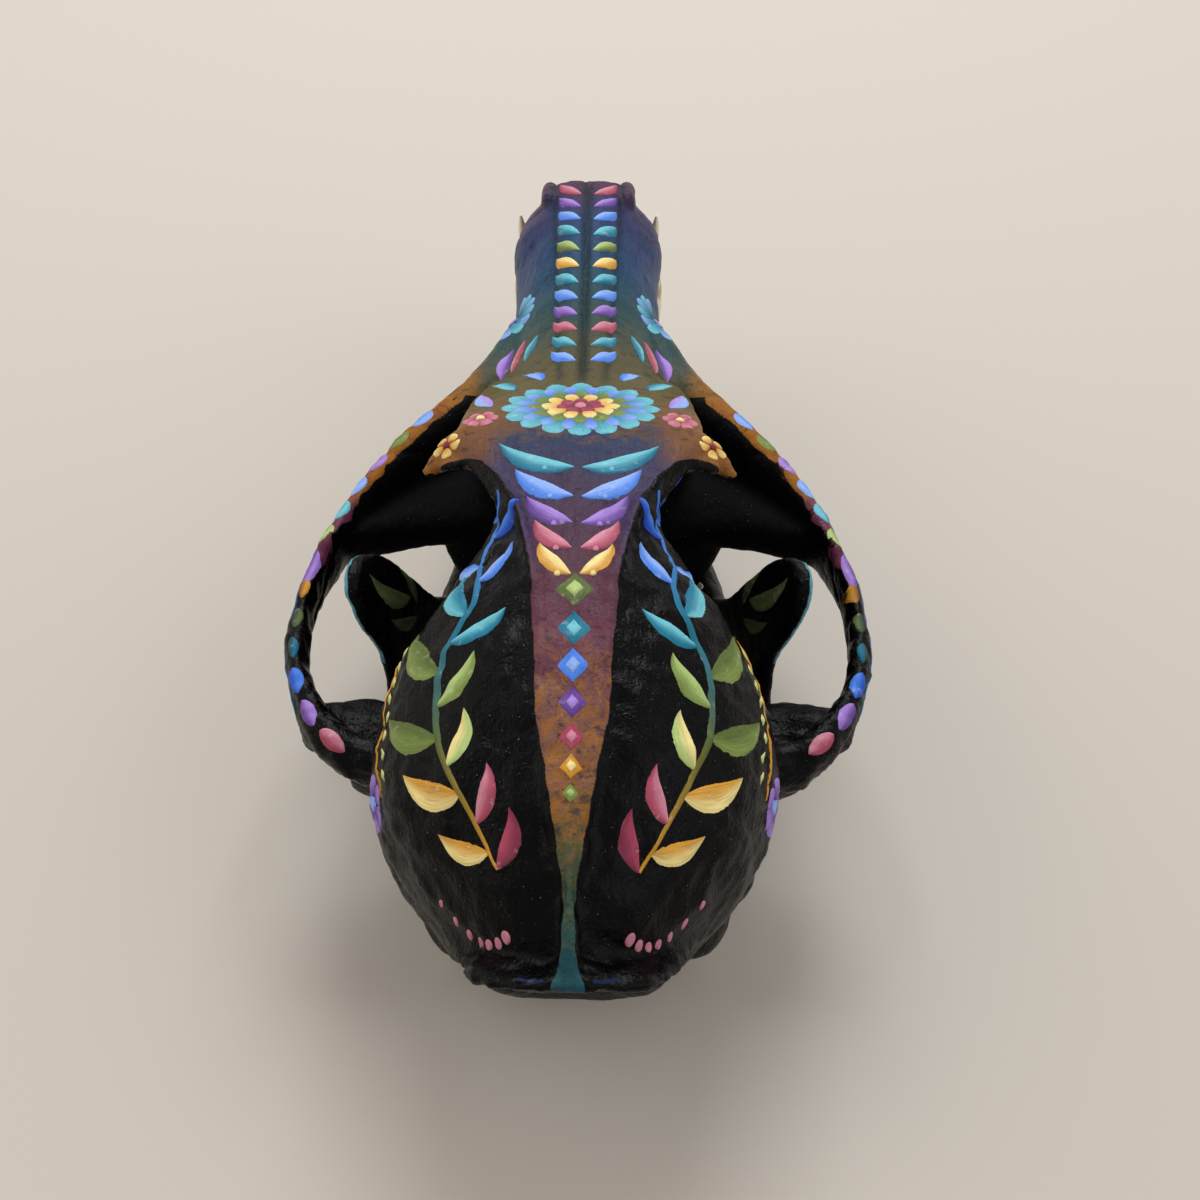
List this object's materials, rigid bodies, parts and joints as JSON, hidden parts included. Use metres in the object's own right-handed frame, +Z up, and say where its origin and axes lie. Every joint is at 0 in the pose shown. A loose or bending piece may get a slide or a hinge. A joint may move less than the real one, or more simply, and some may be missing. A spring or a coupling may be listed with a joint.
{
  "type": "red fox skull, painted",
  "caption": "Life-size painted skull of a red fox with its lower jaw, resting on the lower edges of the jaw.",
  "frame": {"origin": "middle of the bounding box on the surface that the skull rests on", "axes": "+Y points from the back of the head to the snout, +X to the animal's right, +Z up; the line of the upper teeth rises towards the snout by about ten degrees, as the jaw sets it down"},
  "size_m": [0.0738, 0.1516, 0.0535],
  "materials": {
    "braincase_paint": "satin black paint on bone",
    "rostrum_paint": "satin black paint on bone",
    "zygomatic_arch_right_paint": "satin black paint on bone",
    "zygomatic_arch_left_paint": "satin black paint on bone",
    "ear_bulla_right_paint": "satin black paint on bone",
    "ear_bulla_left_paint": "satin black paint on bone",
    "mandible_right_paint": "satin black paint on bone",
    "mandible_left_paint": "satin black paint on bone"
  },
  "bodies": {
    "root": {"braincase": "braincase_paint", "rostrum": "rostrum_paint", "zygomatic_arch_right": "zygomatic_arch_right_paint", "zygomatic_arch_left": "zygomatic_arch_left_paint", "ear_bulla_right": "ear_bulla_right_paint", "ear_bulla_left": "ear_bulla_left_paint", "mandible_right": "mandible_right_paint", "mandible_left": "mandible_left_paint"}
  },
  "joints": []
}
